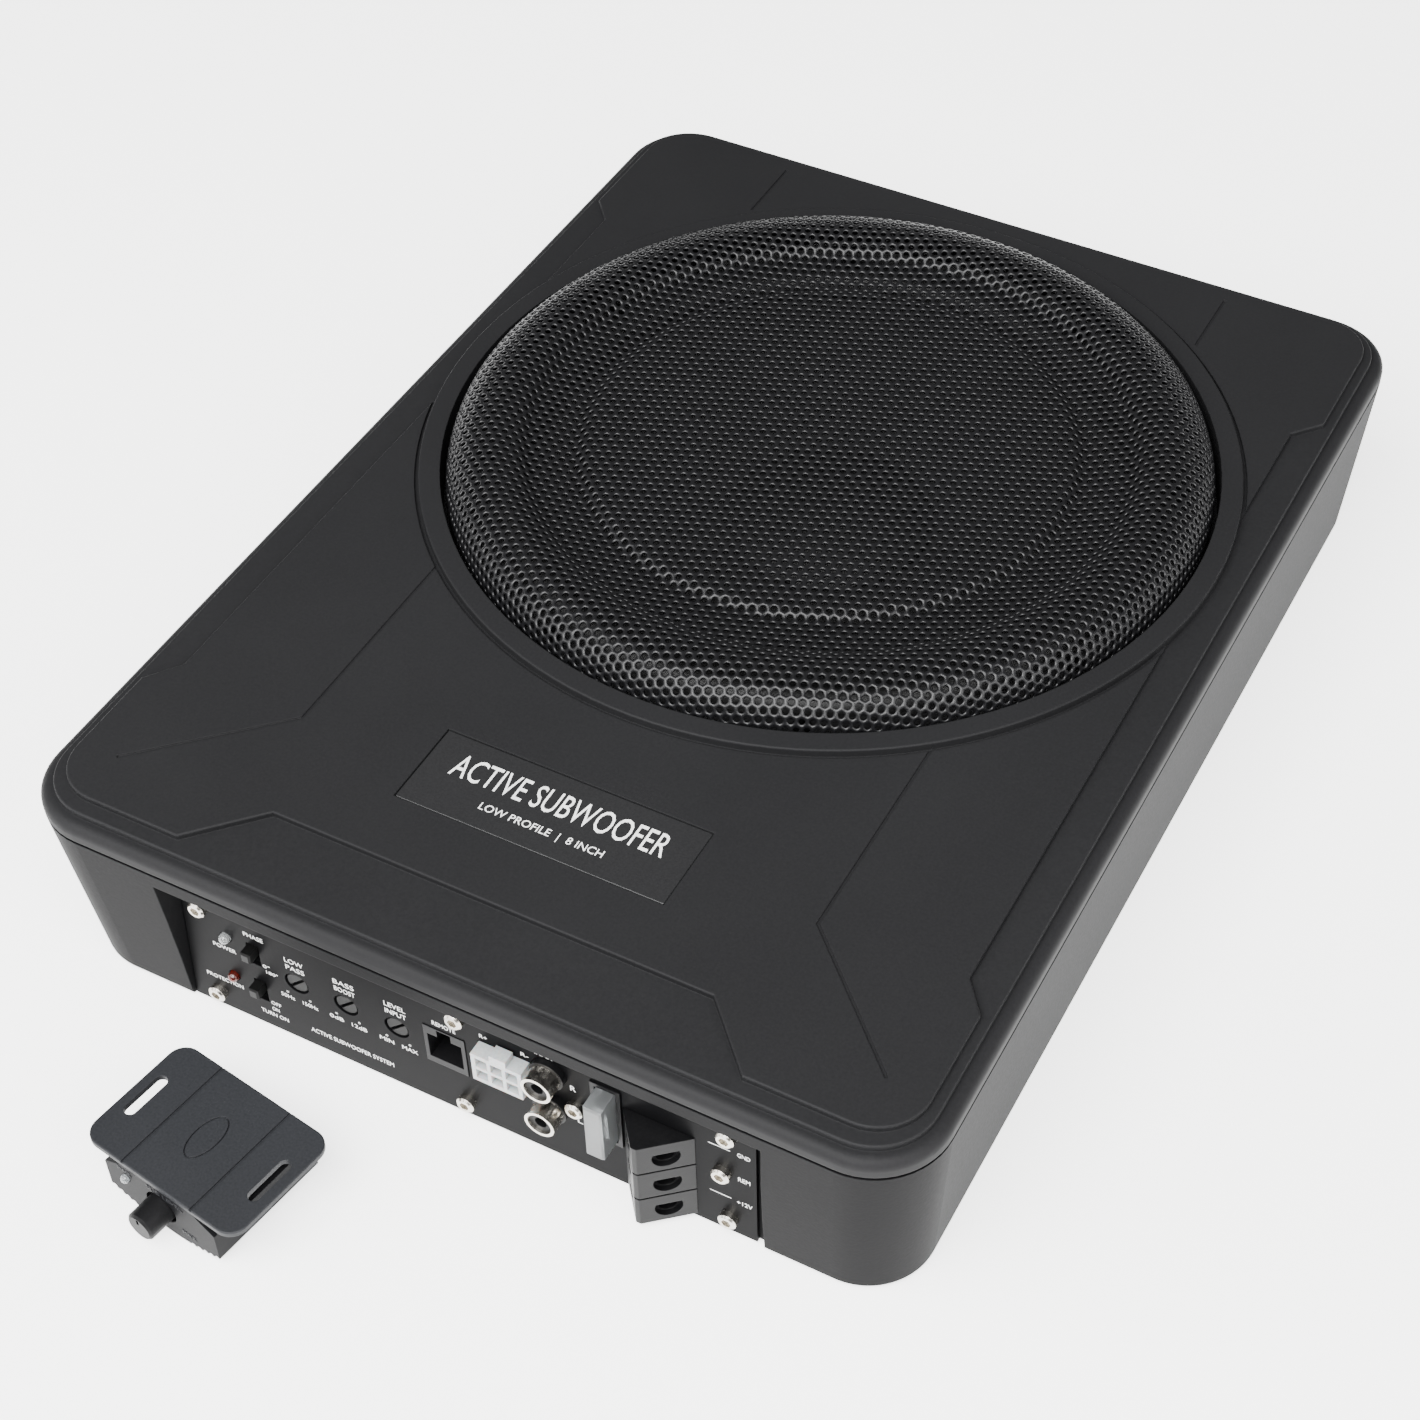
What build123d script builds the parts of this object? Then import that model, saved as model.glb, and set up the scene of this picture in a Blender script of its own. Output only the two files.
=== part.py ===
from build123d import *
import math
import os

# Powered car subwoofer: a shallow 8 inch driver and its amplifier in one low case,
# with a wired level control.
# Units are millimetres. +Z is up, +X runs to the right along the connector panel, -Y is the connector side.
# The origin is on the floor, under the middle of the case.

# ---- driving dimensions: the case ----
WIDTH = 250.0
LENGTH = 336.0
FOOT_HEIGHT = 1.0
DECK_Z = 65.0
PARTING_Z = 56.3
RIM_Z = 61.5
LEDGE_Z = 63.3
CORNER_R = 20.0
WALL = 3.0
SIDE_DRAFT = 4.2
FRONT_DRAFT = 6.0
BACK_DRAFT = 4.0
SHOULDER_R = 2.8
RIM_INSET = 3.8
DECK_INSET = 6.4
MID_INSET = 13.2
EDGE_R = 0.5
BADGE_W = 76.0
BADGE_L = 25.0
BADGE_Y = -112.0
BADGE_SINK = 0.8
CREASE = [(73.3, -49.0), (73.3, -113.0), (107.0, -145.6)]
FOOT_R = 8.0
FEET = [(sx * 92, y) for sx in (-1, 1) for y in (-140, 140)] + [(0, 0)]
CASE_SCREWS = [(sx * 110, y) for sx in (-1, 1) for y in (-150, -62, 152)]

# ---- driving dimensions: the driver and its grille ----
DRIVER_Y = 39.5
BEZEL_R = 114.9
BEZEL_BORE_R = 108.9
BEZEL_LIFT = 1.5
FOOT_GROOVE = (1.2, 0.9)
GRILLE_R = 107.6
GRILLE_T = 0.9
SEAT_R = 93.0
SEAT_Z = 55.0
DISC_R = 68.0
DISC_Z = 70.0
STEP_DOWN = 1.7
STEP_UP_R = 85.4
CREST_R = 93.0
GRILLE_TOP = 74.5
BOLT_CIRCLE_R = 98.5
BOLT_COUNT = 8
COIL_R = 17.5

# ---- driving dimensions: the connector panel ----
PANEL_Y = -161.0
PANEL_T = 1.2
PANEL_X = (-83.7, 81.8)
PANEL_Z = (1.0, 49.2)
PANEL_LEAN = 3.5
PANEL_GAP = 0.3
RIGHT_SLIT = 2.4
PANEL_SCREWS = [(x, z) for x in (-75.2, 0.4, 74.4) for z in (6.6, 40.6)] + [(72.8, 24.8)]
BLOCK_SCREW = (32.9, 25.0)
LED_AT = {"power_led": (-68.8, 32.0), "protection_led": (-68.8, 16.6)}
SWITCH_AT = {"phase_switch": (-60.7, 29.6), "turn_on_switch": (-60.7, 15.2)}
SLOT_W = 3.6
SLOT_H = 8.0
POT_AT = {"low_pass": (-48.4, 25.0), "bass_boost": (-33.6, 25.0), "level": (-18.6, 25.0)}
SHAFT_R = 3.0
JACK_AT = (-4.3, 24.8)
HIGH_LEVEL_AT = (13.2, 29.6)
HIGH_LEVEL_PITCH = 4.3
RCA_AT = [(26.0, 35.0), (26.0, 21.3)]
RCA_R = 4.15
RCA_COLLAR_R = 4.7
FUSE_AT = (41.6, 28.0)
FUSE_BLADE_Z = 6.9

# ---- driving dimensions: the terminal block ----
TERMINAL_Z = (2.2, 33.4)
TERMINAL_PLAN = [(46.0, PANEL_Y), (53.4, PANEL_Y - 9.2), (54.8, PANEL_Y - 9.2), (65.6, PANEL_Y)]
TERMINAL_LEVELS = [TERMINAL_Z[0] + (TERMINAL_Z[1] - TERMINAL_Z[0]) * k / 6 for k in (1, 3, 5)]
ENTRY_R = 2.4
ENTRY_DROP = -0.9
ENTRY_RECESS = 1.6
ENTRY_END = 7.0

# ---- driving dimensions: the wired level control, which lies in front of the case ----
REMOTE_AT = (-45.0, -206.0)
REMOTE_TURN = -9.0
REMOTE_W = 37.0
REMOTE_D = 34.0
REMOTE_H = 16.4
REMOTE_SHOULDER = (6.5, 3.6)
PLATE_W = 51.0
PLATE_D = 34.6
PLATE_T = 1.6
KNOB_R = 4.1
KNOB_OUT = 7.4
KNOB_Z = 9.0
LAMP_AT = (-11.4, 11.4)
REMOTE_POSTS = [(-8.4, 3.0), (8.4, 3.0)]
POST_TOP = 12.2

PARTS = {}


# ---------------------------------------------------------------- shared shapes
def box(x, y, z):
    """A box from three (low, high) pairs."""
    size = [b - a for a, b in (x, y, z)]
    mid = [(a + b) / 2 for a, b in (x, y, z)]
    return Pos(*mid) * Box(*size)


def rod(r, z, at=(0, 0)):
    """An upright cylinder between two heights."""
    return Pos(at[0], at[1], (z[0] + z[1]) / 2) * Cylinder(r, z[1] - z[0])


def ring(r_in, r_out, z, at=(0, DRIVER_Y)):
    """An upright ring between two heights."""
    return rod(r_out, z, at) - rod(r_in, (z[0] - 1, z[1] + 1), at)


def rod_y(r, y, at):
    """A cylinder along Y at the (x, z) place at."""
    return Pos(at[0], (y[0] + y[1]) / 2, at[1]) * Rot(90, 0, 0) * Cylinder(r, y[1] - y[0])


def ring_y(r_in, r_out, y, at):
    """A ring along Y at the (x, z) place at."""
    return rod_y(r_out, y, at) - rod_y(r_in, (y[0] - 1, y[1] + 1), at)


def block_y(at, w, h, y):
    """A box of width w and height h centred on an (x, z) place, between two depths."""
    return box((at[0] - w / 2, at[0] + w / 2), y, (at[1] - h / 2, at[1] + h / 2))


def slab(w, l, r, z, dy=0.0):
    """A rounded rectangle plate between two heights."""
    return extrude(Pos(0, dy, z[0]) * RectangleRounded(w, l, r), z[1] - z[0])


def turned(points, at=(0, DRIVER_Y)):
    """A closed (radius, height) outline turned about an upright axis."""
    face = make_face(Polyline(*[(r, 0, z) for r, z in points], close=True))
    return Pos(at[0], at[1], 0) * revolve(face, Axis.Z)


def front_panel(points, y):
    """A flat (x, z) outline pulled between two depths."""
    face = make_face(Polyline(*[(x, y[0], z) for x, z in points], close=True))
    return extrude(face, y[1] - y[0], dir=(0, 1, 0))


def cross_recess():
    return Box(0.8, 3.6, 1.4) + Box(3.6, 0.8, 1.4)


def top_edges(shape):
    return shape.faces().sort_by(Axis.Z)[-1].edges()


def front_edges(shape):
    return shape.faces().sort_by(Axis.Y)[0].edges()


def add(name, *shapes):
    """Keep a sub-part: one solid, or a group of separate like solids."""
    found = [solid for shape in shapes for solid in shape.solids()]
    PARTS[name] = found[0] if len(found) == 1 else Compound(children=found)


# ---------------------------------------------------------------- case
def shell_body(grow, z0, z1):
    """The drafted outer form of the lower shell, or the same form moved in by -grow."""
    def outline(z):
        share = (PARTING_Z - z) / (PARTING_Z - FOOT_HEIGHT)
        side = SIDE_DRAFT * share
        front = FRONT_DRAFT * share
        back = BACK_DRAFT * share
        w = WIDTH - 2 * side + 2 * grow
        l = LENGTH - front - back + 2 * grow
        return Pos(0, (front - back) / 2, z) * RectangleRounded(w, l, CORNER_R - side / 2 + grow)

    return loft([outline(z0), outline(z1)], ruled=True)


def parting_groove():
    """A shallow shadow line round the joint of cover and shell."""
    z = (PARTING_Z - 0.5, PARTING_Z + 0.4)
    return slab(WIDTH + 4, LENGTH + 4, CORNER_R + 2, z) - slab(WIDTH - 1.4, LENGTH - 1.4, CORNER_R - 0.7, z)


def panel_outline(gap, right, low):
    """The panel's outline grown by a gap at its left end and top; the left end leans in towards the top."""
    left = PANEL_X[0] - gap
    top = PANEL_Z[1] + gap
    return [(left, low), (right, low), (right, top), (left + PANEL_LEAN, top)]


def panel_recess():
    """The recess for the panel, open at the bottom and flared towards the front."""
    inner = panel_outline(PANEL_GAP, PANEL_X[1] + RIGHT_SLIT, FOOT_HEIGHT - 1)
    flare = [(-0.4, 0), (0.4, 0), (2.7, 1.5), (-2.6, 1.5)]
    outer = [(x + dx, z + dz) for (x, z), (dx, dz) in zip(inner, flare)]
    rims = [(inner, PANEL_Y), (outer, PANEL_Y - 8)]
    faces = [make_face(Polyline(*[(x, y, z) for x, z in points], close=True)) for points, y in rims]
    return loft(faces, ruled=True) + front_panel(inner, (PANEL_Y - 0.01, PANEL_Y + PANEL_T))


def lower_shell():
    outer = shell_body(0, FOOT_HEIGHT, PARTING_Z)
    outer = fillet(outer.faces().sort_by(Axis.Z)[0].edges(), 1.2)
    shell = outer - shell_body(-WALL, FOOT_HEIGHT + WALL, PARTING_Z + 0.01)
    frame_x = (PANEL_X[0] - 4, PANEL_X[1] + 6)
    shell += outer & box(frame_x, (-170, PANEL_Y + PANEL_T + 4), (FOOT_HEIGHT, PANEL_Z[1] + 4))
    for at in CASE_SCREWS:
        shell += rod(5.4, (FOOT_HEIGHT + 1, PARTING_Z), at)
    for at in CASE_SCREWS:
        shell -= rod(3.7, (FOOT_HEIGHT - 1, 46), at)
        shell -= rod(1.9, (40, PARTING_Z + 1), at)
    shell -= panel_recess()
    for x, z in (((-81, 67.5), (9.2, 36.6)), ((5, 67.5), (9.2, 40.2)), ((47, 65), (2.8, 40.2))):
        shell -= box(x, (-180, -150), z)
    for at in PANEL_SCREWS:
        shell -= rod_y(1.5, (PANEL_Y, PANEL_Y + 7), at)
    for at in FEET:
        shell -= rod(FOOT_R + 0.3, (0, FOOT_HEIGHT + 1), at)
    return shell - parting_groove()


def deck_outline():
    """The raised deck: stepped in along the middle of each side and across the front."""
    x0 = WIDTH / 2 - DECK_INSET
    x1 = WIDTH / 2 - MID_INSET
    y_front = -LENGTH / 2 + DECK_INSET + 1.5
    y_back = LENGTH / 2 - DECK_INSET
    half = [(61.5, -143), (78, y_front), (x0, y_front), (x0, -120)]
    half += [(x1, -111), (x1, 107), (x0, 115), (x0, y_back)]
    pts = half + [(-x, y) for x, y in reversed(half)]
    deck = extrude(Pos(0, 0, LEDGE_Z - 1) * make_face(Polyline(*pts, close=True)), DECK_Z - LEDGE_Z + 1)
    upright = deck.edges().filter_by(Axis.Z)
    corners = [e for e in upright if abs(e.center().X) > x0 - 1 and abs(e.center().Y) > 140]
    deck = fillet(corners, CORNER_R - DECK_INSET)
    return fillet(top_edges(deck), EDGE_R)


def bolt_circle():
    """The (x, y) places of the driver's screws."""
    turns = [math.radians(22.5 + 360 / BOLT_COUNT * i) for i in range(BOLT_COUNT)]
    return [(BOLT_CIRCLE_R * math.cos(a), DRIVER_Y + BOLT_CIRCLE_R * math.sin(a)) for a in turns]


def top_cover():
    cover = slab(WIDTH, LENGTH, CORNER_R, (PARTING_Z, RIM_Z))
    cover = fillet(top_edges(cover), SHOULDER_R)
    ledge = slab(WIDTH - 2 * RIM_INSET, LENGTH - 2 * RIM_INSET, CORNER_R - RIM_INSET, (RIM_Z - 1, LEDGE_Z))
    cover += fillet(top_edges(ledge), EDGE_R)
    cover += deck_outline()
    bezel = rod(BEZEL_R, (RIM_Z - 1, DECK_Z + BEZEL_LIFT), (0, DRIVER_Y))
    cover += fillet(top_edges(bezel), EDGE_R)
    cover -= slab(WIDTH - 6, LENGTH - 6, CORNER_R - 3, (PARTING_Z - 1, 59.4))
    cover -= slab(WIDTH - 22, LENGTH - 26, CORNER_R - 10, (59, 61.2))
    cover += rod(BEZEL_BORE_R + 2.6, (SEAT_Z - 2.5, RIM_Z), (0, DRIVER_Y))
    for at in CASE_SCREWS:
        cover += rod(4.6, (PARTING_Z, 61.3), at)
        cover -= rod(1.75, (PARTING_Z - 1, 61.4), at)
    cover -= rod(BEZEL_BORE_R, (SEAT_Z, DECK_Z + 5), (0, DRIVER_Y))
    cover -= ring(BEZEL_R, BEZEL_R + FOOT_GROOVE[0], (DECK_Z - FOOT_GROOVE[1], DECK_Z + 1))
    cover -= rod(SEAT_R, (SEAT_Z - 5, SEAT_Z + 1), (0, DRIVER_Y))
    for at in bolt_circle():
        cover -= rod(1.6, (SEAT_Z - 4, SEAT_Z + 1), at)
    badge_x = (-BADGE_W / 2 - 0.2, BADGE_W / 2 + 0.2)
    badge_y = (BADGE_Y - BADGE_L / 2 - 0.2, BADGE_Y + BADGE_L / 2 + 0.2)
    cover -= box(badge_x, badge_y, (DECK_Z - BADGE_SINK, DECK_Z + 1))
    for sx in (-1, 1):
        crease = Polyline(*[(sx * x, y, 0) for x, y in CREASE])
        section = Plane(crease @ 0, z_dir=crease % 0) * Rectangle(0.8, 0.8)
        cut = sweep(section, crease, transition=Transition.RIGHT)
        cover -= Pos(0, 0, DECK_Z) * cut
        cover -= box((sx * 73.5 - 0.4, sx * 73.5 + 0.4), (132, 156), (DECK_Z - 0.4, DECK_Z + 1))
    return cover - parting_groove()


def cover_screw(at):
    return rod(3.1, (43.4, 46), at) + rod(1.6, (45, 60.8), at) - Pos(at[0], at[1], 43.8) * cross_recess()


def case_parts():
    add("lower_shell", lower_shell())
    add("top_cover", top_cover())
    feet = [rod(FOOT_R, (0, FOOT_HEIGHT + 1), at) for at in FEET]
    add("rubber_feet", *[chamfer(f.faces().sort_by(Axis.Z)[0].edges(), 0.4) for f in feet])
    add("cover_screws", *[cover_screw(at) for at in CASE_SCREWS])
    badge = slab(BADGE_W, BADGE_L, 0.6, (DECK_Z - BADGE_SINK, DECK_Z - 0.2), BADGE_Y)
    add("badge_plate", chamfer(top_edges(badge), 0.2))


# ---------------------------------------------------------------- driver
def driver_screw(at):
    return rod(2.6, (56.4, 58.2), at) + rod(1.4, (50.5, 57), at) - Pos(at[0], at[1], 57.9) * cross_recess()


def driver_parts():
    basket = [(92.4, 55.0), (104.0, 55.0), (104.0, 56.4), (91.2, 56.4), (72.0, 36.4), (54.0, 33.0)]
    basket += [(54.0, 30.2), (47.0, 30.2), (47.0, 28.4), (56.0, 28.4), (56.0, 31.4), (73.0, 34.6)]
    frame = turned(basket)
    for i in range(6):
        frame -= Pos(0, DRIVER_Y, 0) * Rot(0, 0, 60 * i) * box((60, 86), (-19, 19), (25, 53))
    for at in bolt_circle():
        frame -= rod(1.8, (54, 58), at)
    add("driver_basket", frame)
    add("driver_gasket", ring(101.4, 104, (56.4, 58.6)))
    add("driver_screws", *[driver_screw(at) for at in bolt_circle()])
    back = rod(57, (5, 9), (0, DRIVER_Y)) + rod(COIL_R - 0.6, (8, 28.4), (0, DRIVER_Y))
    add("back_plate", back - rod(5, (0, 40), (0, DRIVER_Y)))
    add("magnet", ring(26, 60, (9, 22)))
    add("top_plate", ring(COIL_R + 1.7, 50, (22, 28.4)))
    add("voice_coil", ring(COIL_R, COIL_R + 0.9, (13.2, 37.6)))
    cone = [(18.4, 36.2), (50.0, 44.6), (81.6, 55.6), (84.6, 55.6)]
    add("cone", turned(cone + [(84.6, 56.6), (81.2, 56.6), (50.0, 45.7), (18.4, 37.5)]))
    dome = [(30 * k / 8, 49.7 - 8.0 * (k / 8) ** 2) for k in range(9)]
    add("dust_cap", turned(dome + [(r - 0.3, z - 0.9) for r, z in reversed(dome[1:])] + [(0, 48.8)]))
    add("surround", Pos(0, DRIVER_Y, 0) * revolve(surround_section(), Axis.Z))
    waves = 10
    top = [(18.5 + 35.1 * i / waves, 32.2 + (1.4 if i % 2 else 0.0)) for i in range(waves + 1)]
    add("spider", turned(top + [(r, z + 0.6) for r, z in reversed(top)]))
    tags = [box((x - 2.2, x + 2.2), (DRIVER_Y - 62, DRIVER_Y - 58), (35.1, 42)) for x in (-5, 5)]
    add("driver_terminals", *tags, box((-12, 12), (DRIVER_Y - 64.4, DRIVER_Y - 62.2), (35.4, 43)))


def surround_section():
    """A half-round roll of rubber with a lip on the cone and a foot on the basket."""
    outer = ThreePointArc((84.4, 0, 56.9), (89.3, 0, 61.6), (94.2, 0, 56.9))
    inner = ThreePointArc((93.2, 0, 56.9), (89.3, 0, 60.6), (85.4, 0, 56.9))
    foot = Polyline(outer @ 1, (95.2, 0, 56.9), (95.2, 0, 56.5), (93.2, 0, 56.5), inner @ 0)
    lip = Polyline(inner @ 1, (85.4, 0, 56.7), (82.0, 0, 56.7), (82.0, 0, 57.3), (84.4, 0, 57.3), outer @ 0)
    return make_face([outer, foot, inner, lip])


def sheet_outline(line, t):
    """A (radius, height) line and its copy moved down and inwards by t, as one closed outline."""
    under = []
    for i, (r, z) in enumerate(line):
        before = Vector(*line[max(i - 1, 0)])
        after = Vector(*line[min(i + 1, len(line) - 1)])
        run = (after - before).normalized()
        under.append((r + run.Y * t, z - run.X * t))
    return line + under[::-1]


def grille():
    """Domed sheet: a flat disc, a sunk ring between two small steps, a crest, and a roll at the edge."""
    top = GRILLE_TOP
    line = [(0, DISC_Z), (DISC_R, DISC_Z), (DISC_R + 3, DISC_Z - STEP_DOWN)]
    line += [(STEP_UP_R - 1.4, top - 3.9), (STEP_UP_R + 1.4, top - 1.7), (90, top - 0.6), (CREST_R, top)]
    line += [(96.5, top - 0.2), (100, top - 0.9), (103.5, top - 2.6), (106, top - 5.5)]
    line += [(GRILLE_R - 0.2, top - 9.5), (GRILLE_R, top - 14.5), (GRILLE_R, SEAT_Z)]
    return turned(sheet_outline(line, GRILLE_T))


# ---------------------------------------------------------------- connector panel
def connector_panel():
    y = (PANEL_Y - 1, PANEL_Y + PANEL_T + 1)
    panel = front_panel(panel_outline(0, PANEL_X[1], PANEL_Z[0]), (PANEL_Y, PANEL_Y + PANEL_T))
    for at in PANEL_SCREWS + [BLOCK_SCREW]:
        panel -= rod_y(1.7, y, at)
    for at in LED_AT.values():
        panel -= rod_y(1.75, y, at)
    for at in SWITCH_AT.values():
        panel -= block_y(at, SLOT_W, SLOT_H, y)
    for at in POT_AT.values():
        panel -= rod_y(SHAFT_R + 0.6, y, at)
    panel -= block_y(JACK_AT, 12.4, 14.6, y)
    panel -= block_y(HIGH_LEVEL_AT, 14.8, 10.8, y)
    for at in RCA_AT:
        panel -= rod_y(RCA_COLLAR_R + 0.1, y, at)
    panel -= block_y(FUSE_AT, 8.6, 22.6, y)
    return panel - box((47.8, 64.2), y, (3.2, 32.2))


def panel_screw(x, z):
    head = rod_y(2.5, (PANEL_Y - 2.2, PANEL_Y), (x, z))
    head = chamfer(front_edges(head), 0.5)
    stem = rod_y(1.3, (PANEL_Y - 1, PANEL_Y + 5.6), (x, z))
    socket = Pos(x, PANEL_Y - 2.2, z) * Rot(90, 0, 0) * extrude(RegularPolygon(1.35, 6), 1.5, both=True)
    return head + stem - socket


def led(x, z):
    lamp = rod_y(1.5, (PANEL_Y - 0.6, PANEL_Y + 3.2), (x, z)) + Pos(x, PANEL_Y - 0.6, z) * Sphere(1.5)
    return lamp + rod_y(2.0, (PANEL_Y + 1.4, PANEL_Y + 3.2), (x, z))


def switch_parts(name, x, z):
    y0 = PANEL_Y + PANEL_T
    body = block_y((x, z), 6.8, 11.2, (y0, y0 + 6)) - block_y((x, z), SLOT_W, SLOT_H, (y0 - 1, y0 + 4))
    add(name + "_body", body)
    lever = box((x - 1.4, x + 1.4), (PANEL_Y - 3.4, y0 + 3.6), (z + 0.3, z + 3.5))
    add(name + "_lever", chamfer(front_edges(lever), 0.4))


def pot_parts(name, x, z):
    y0 = PANEL_Y + PANEL_T
    bore = SHAFT_R + 0.05
    body = block_y((x, z), 11.4, 12, (y0 + 1.4, y0 + 9)) + ring_y(bore, 3.5, (PANEL_Y + 0.7, y0 + 2), (x, z))
    add(name + "_pot", body - rod_y(bore, (y0, y0 + 6), (x, z)))
    shaft = rod_y(SHAFT_R, (PANEL_Y + 0.3, y0 + 5.7), (x, z))
    add(name + "_shaft", shaft - Pos(x, PANEL_Y + 0.3, z) * Rot(0, 45, 0) * Box(0.9, 2.4, 7))


def socket_parts():
    """The level control's jack and the six-way speaker-level socket."""
    y0 = PANEL_Y - 0.2
    x, z = JACK_AT
    jack = block_y((x, z), 12, 14.2, (y0, y0 + 12)) - block_y((x, z - 0.4), 9.8, 9, (y0 - 1, y0 + 10))
    add("remote_jack", jack - block_y((x, z + 5), 4, 3.4, (y0 - 1, y0 + 10)))
    x, z = HIGH_LEVEL_AT
    front = PANEL_Y - 4
    latch = block_y((x + 0.6, z + 6), 4.6, 2.4, (front, PANEL_Y - 0.3))
    socket = block_y((x, z), 14.2, 10.2, (front, PANEL_Y + 9)) + latch
    pins = []
    for i in (-1, 0, 1):
        for k in (-0.5, 0.5):
            cell = (x + i * HIGH_LEVEL_PITCH, z + k * HIGH_LEVEL_PITCH)
            socket -= block_y(cell, 3.3, 3.3, (front - 1, PANEL_Y + 3))
            pins.append(block_y(cell, 1.1, 1.1, (PANEL_Y - 2.6, PANEL_Y + 3)))
    add("high_level_socket", socket)
    add("high_level_pins", *pins)


def rca_parts():
    """Two phono jacks in one block: nickel shells round black contacts."""
    block = box((20.8, 35.4), (PANEL_Y + PANEL_T, PANEL_Y + 10), (14.2, 36.4))
    for at in RCA_AT:
        block += rod_y(RCA_COLLAR_R, (PANEL_Y - 1.8, PANEL_Y + 3), at)
    block -= rod_y(1.4, (PANEL_Y, PANEL_Y + 7), BLOCK_SCREW)
    for at in RCA_AT:
        block -= rod_y(1.65, (PANEL_Y - 3, PANEL_Y + 6), at)
    add("rca_block", block)
    add("rca_shells", *[ring_y(3.3, RCA_R, (PANEL_Y - 6.6, PANEL_Y - 1.8), at) for at in RCA_AT])
    add("rca_contacts", *[ring_y(1.65, 3.25, (PANEL_Y - 5.8, PANEL_Y - 1.8), at) for at in RCA_AT])


def fuse_parts():
    """A blade fuse standing in its holder."""
    x, z = FUSE_AT
    holder = block_y(FUSE_AT, 8.2, 22.2, (PANEL_Y - 0.6, PANEL_Y + 13))
    holder -= block_y(FUSE_AT, 5.8, 19.8, (PANEL_Y - 2, PANEL_Y + 2.4))
    blades = []
    for dz in (-FUSE_BLADE_Z, FUSE_BLADE_Z):
        holder -= block_y((x, z + dz), 1.5, 6.0, (PANEL_Y, PANEL_Y + 11.5))
        blades.append(block_y((x, z + dz), 0.8, 5.2, (PANEL_Y + 1.8, PANEL_Y + 10.6)))
    add("fuse_holder", holder)
    fuse = block_y(FUSE_AT, 5.0, 19.0, (PANEL_Y - 7, PANEL_Y + 1.8))
    fuse -= block_y(FUSE_AT, 3.2, 9.0, (PANEL_Y - 3.6, PANEL_Y + 3))
    add("blade_fuse", chamfer(front_edges(fuse), 0.5))
    add("fuse_blades", blades[0] + blades[1] + block_y(FUSE_AT, 0.8, 9.2, (PANEL_Y + 1.84, PANEL_Y + 2.3)))


# ---------------------------------------------------------------- terminal block
def face_plane(a, b, z):
    """A plane on the wedge's upright face from plan point a to b, its x along the face and its z outward."""
    along = Vector(b[0] - a[0], b[1] - a[1], 0).normalized()
    outward = along.cross(Vector(0, 0, 1))
    mid = ((a[0] + b[0]) / 2, (a[1] + b[1]) / 2, z)
    return Plane(origin=mid, x_dir=along, z_dir=outward)


def entry_plane(z):
    return face_plane(TERMINAL_PLAN[2], TERMINAL_PLAN[3], z)


def well_plane(z):
    return face_plane(TERMINAL_PLAN[0], TERMINAL_PLAN[1], z)


def entry_outline():
    """A wire entry: a circle with its top cut flat."""
    return Circle(3.5) - Pos(0, 4.0) * Rectangle(8, 5)


def terminal_block():
    """A wedge with three wire entries on its right-hand face and three screw wells on its left-hand face."""
    z0, z1 = TERMINAL_Z
    wedge = extrude(Pos(0, 0, z0) * make_face(Polyline(*TERMINAL_PLAN, close=True)), z1 - z0)
    nose = [e for e in wedge.edges().filter_by(Axis.Z) if e.center().Y < PANEL_Y - 9]
    wedge = fillet(nose, 0.6)
    wedge += box((48, 64), (PANEL_Y - 0.5, PANEL_Y + 9), (3.4, 32))
    for z in (z0 + (z1 - z0) / 3, z0 + 2 * (z1 - z0) / 3):
        wedge -= entry_plane(z) * Box(20, 0.6, 1.0)
        wedge -= well_plane(z) * Box(20, 0.6, 1.0)
    for z in TERMINAL_LEVELS:
        wedge -= entry_plane(z) * extrude(entry_outline(), -ENTRY_RECESS)
        wedge -= entry_plane(z) * Pos(0, ENTRY_DROP, -ENTRY_END / 2) * Cylinder(ENTRY_R, ENTRY_END)
        wedge -= entry_plane(z) * Pos(0, ENTRY_DROP, -ENTRY_END - 1.4) * Box(5.4, 5.4, 2.9)
        wedge -= well_plane(z) * Pos(0, 0, -1.6) * Cylinder(2.25, 4.4)
    return wedge


def terminal_parts():
    add("terminal_block", terminal_block())
    clamps = []
    for i, z in enumerate(TERMINAL_LEVELS):
        clamps.append(entry_plane(z) * Pos(0, ENTRY_DROP, -ENTRY_END - 1.5) * Box(5.0, 5.0, 2.4))
        screw = well_plane(z) * Pos(0, 0, -1.8) * Cylinder(1.95, 3.2)
        add("terminal_screw_%d" % (i + 1), screw - well_plane(z) * Pos(0, 0, -0.4) * Box(0.7, 3.2, 1.4))
    add("terminal_clamps", *clamps)


def panel_parts():
    add("connector_panel", connector_panel())
    add("panel_screws", *[panel_screw(x, z) for x, z in PANEL_SCREWS + [BLOCK_SCREW]])
    for name, at in LED_AT.items():
        add(name, led(*at))
    for name, at in SWITCH_AT.items():
        switch_parts(name, *at)
    for name, at in POT_AT.items():
        pot_parts(name, *at)
    socket_parts()
    rca_parts()
    fuse_parts()
    terminal_parts()


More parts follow.
